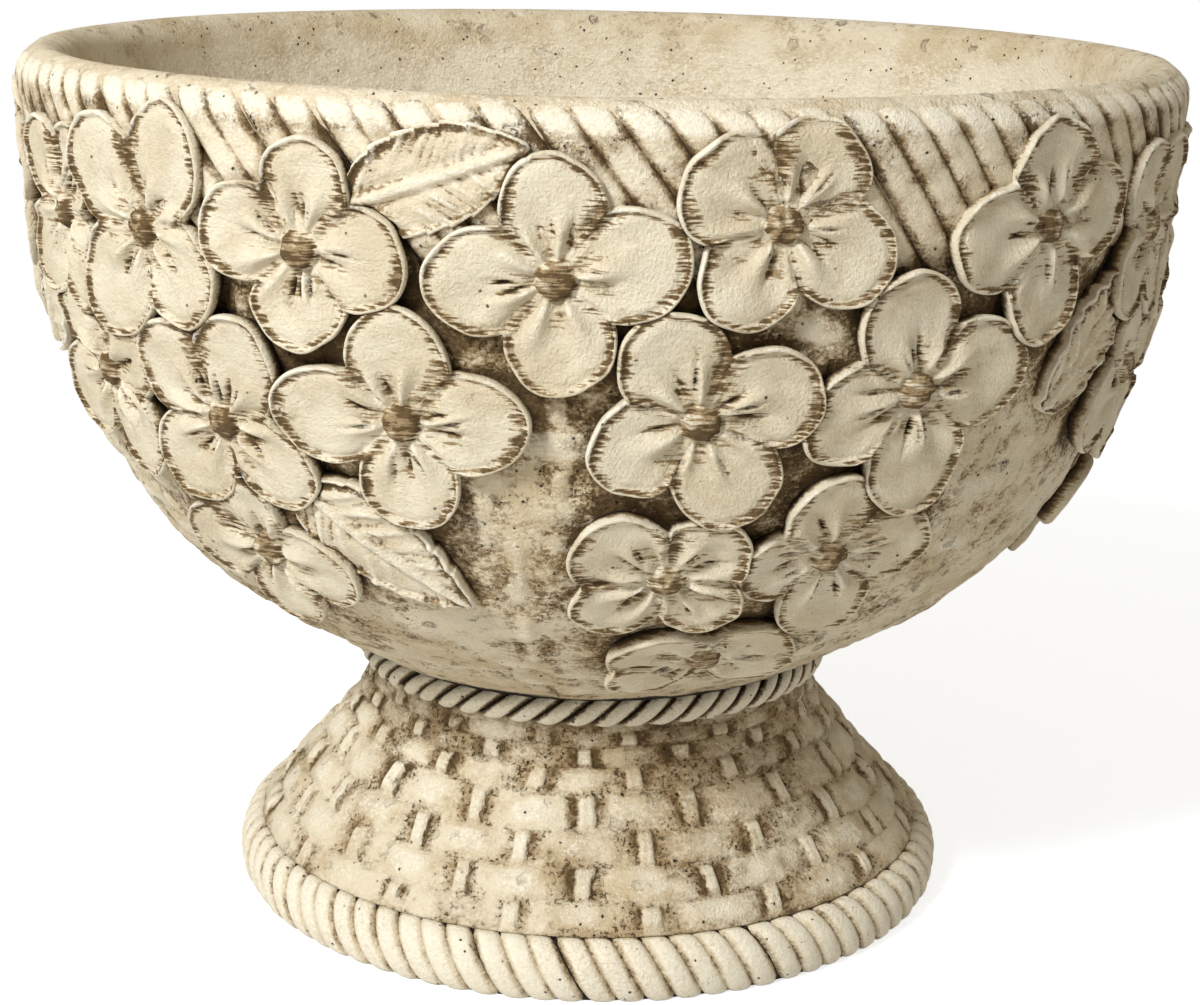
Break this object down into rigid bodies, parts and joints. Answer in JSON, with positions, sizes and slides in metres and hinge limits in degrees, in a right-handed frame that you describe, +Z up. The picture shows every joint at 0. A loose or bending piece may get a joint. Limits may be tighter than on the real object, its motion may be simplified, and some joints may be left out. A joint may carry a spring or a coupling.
{
  "type": "flower pot",
  "caption": "Round footed flower pot in cast stone: woven bowl with a relief garland of flowers and leaves, reeded band, flared foot and rope borders.",
  "frame": {"origin": "centre of the foot on the ground", "axes": "+Z up along the pot's axis, -Y towards the front that was pictured, +X to its right"},
  "size_m": [0.4061, 0.405, 0.298],
  "materials": {
    "bowl_stone": "matte",
    "flower_stone": "matte",
    "leaf_stone": "matte",
    "foot_stone": "matte"
  },
  "bodies": {
    "root": {"bowl": "bowl_stone", "flower_lower_1_12": "flower_stone", "flower_lower_1_13": "flower_stone", "flower_lower_1_14": "flower_stone", "flower_lower_1_15": "flower_stone", "flower_lower_2_12": "flower_stone", "flower_lower_2_13": "flower_stone", "flower_lower_2_14": "flower_stone", "flower_lower_2_15": "flower_stone", "flower_lower_3_12": "flower_stone", "flower_lower_3_13": "flower_stone", "flower_lower_3_14": "flower_stone", "flower_lower_3_15": "flower_stone", "flower_side_1_07": "flower_stone", "flower_side_1_08": "flower_stone", "flower_side_1_09": "flower_stone", "flower_side_1_10": "flower_stone", "flower_side_1_11": "flower_stone", "flower_side_2_07": "flower_stone", "flower_side_2_08": "flower_stone", "flower_side_2_09": "flower_stone", "flower_side_2_10": "flower_stone", "flower_side_2_11": "flower_stone", "flower_side_3_07": "flower_stone", "flower_side_3_08": "flower_stone", "flower_side_3_09": "flower_stone", "flower_side_3_10": "flower_stone", "flower_side_3_11": "flower_stone", "flower_upper_1_01": "flower_stone", "flower_upper_1_02": "flower_stone", "flower_upper_1_03": "flower_stone", "flower_upper_1_04": "flower_stone", "flower_upper_1_05": "flower_stone", "flower_upper_1_06": "flower_stone", "flower_upper_2_01": "flower_stone", "flower_upper_2_02": "flower_stone", "flower_upper_2_03": "flower_stone", "flower_upper_2_04": "flower_stone", "flower_upper_2_05": "flower_stone", "flower_upper_2_06": "flower_stone", "flower_upper_3_01": "flower_stone", "flower_upper_3_02": "flower_stone", "flower_upper_3_03": "flower_stone", "flower_upper_3_04": "flower_stone", "flower_upper_3_05": "flower_stone", "flower_upper_3_06": "flower_stone", "foot_rope": "foot_stone", "leaf_1_16": "leaf_stone", "leaf_1_17": "leaf_stone", "leaf_1_18": "leaf_stone", "leaf_2_16": "leaf_stone", "leaf_2_17": "leaf_stone", "leaf_2_18": "leaf_stone", "leaf_3_16": "leaf_stone", "leaf_3_17": "leaf_stone", "leaf_3_18": "leaf_stone", "neck_rope": "foot_stone", "pedestal": "foot_stone", "rim_band": "bowl_stone"}
  },
  "joints": []
}
